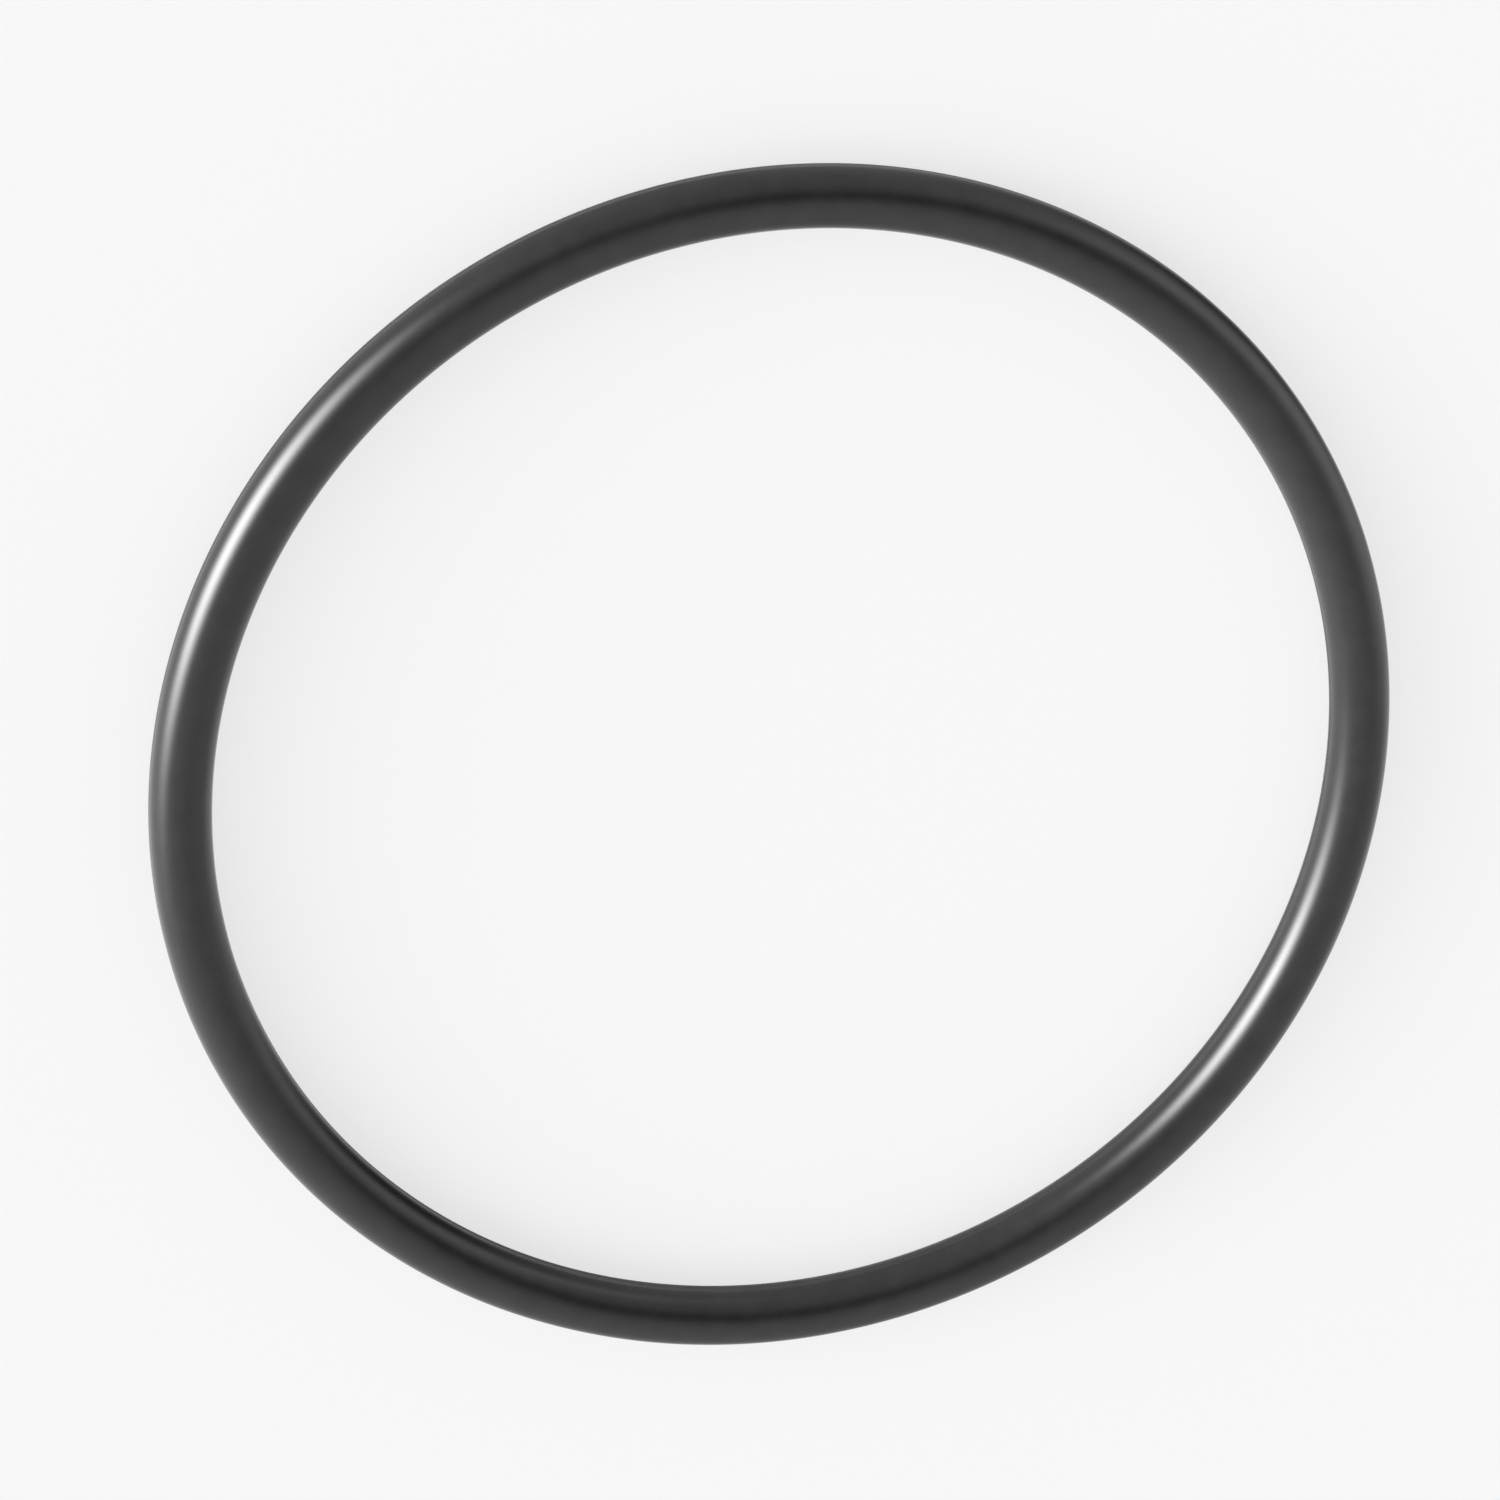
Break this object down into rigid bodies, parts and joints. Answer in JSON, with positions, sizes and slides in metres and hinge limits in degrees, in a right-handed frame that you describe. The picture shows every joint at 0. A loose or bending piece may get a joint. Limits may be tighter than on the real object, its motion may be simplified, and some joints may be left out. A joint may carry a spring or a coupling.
{
  "type": "rubber o-ring",
  "caption": "Rubber o-ring: a closed ring of round section that seals a round groove, with its parting line trimmed to a narrow land inside and outside.",
  "frame": {"origin": "centre of the ring, at half the height of its section", "axes": "+Z along the ring's axis; the ring lies flat, so its lowest circle is half a section below the origin. It is the same all round, so +X and +Y are free."},
  "size_m": [0.0541, 0.0542, 0.0026],
  "materials": {
    "black_rubber": "smooth, satin"
  },
  "bodies": {
    "root": {"o_ring": "black_rubber"}
  },
  "joints": []
}
